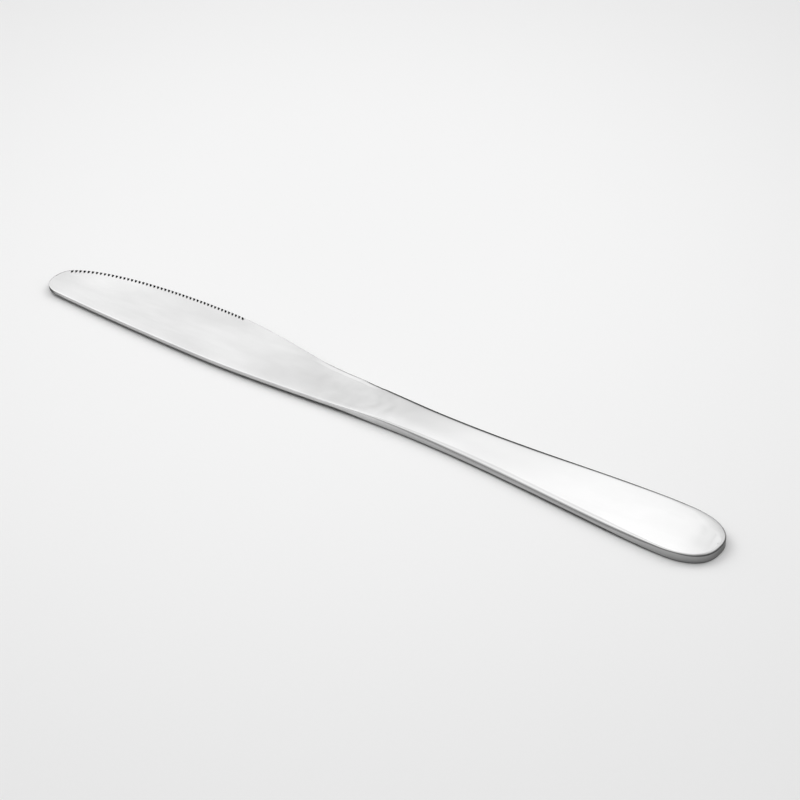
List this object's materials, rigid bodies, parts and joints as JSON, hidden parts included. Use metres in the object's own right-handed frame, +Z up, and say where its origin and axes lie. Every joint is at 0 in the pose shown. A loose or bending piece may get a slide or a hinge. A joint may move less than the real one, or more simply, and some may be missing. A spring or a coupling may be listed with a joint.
{
  "type": "table knife",
  "caption": "Flat stainless table knife lying on its side: round-tipped blade with a finely serrated edge, narrow neck, and a handle that widens to a rounded butt.",
  "frame": {"origin": "on the surface that the knife lies on, at the middle of its length and of its width", "axes": "+X from the tip to the butt, +Y towards the cutting edge, +Z up from the surface it lies on"},
  "size_m": [0.22, 0.0226, 0.0028],
  "materials": {
    "blade_steel": "satin-polished stainless steel with fine lines along the blade",
    "handle_steel": "polished stainless steel with faint hairlines"
  },
  "bodies": {
    "root": {"blade": "blade_steel", "handle": "handle_steel"}
  },
  "joints": []
}
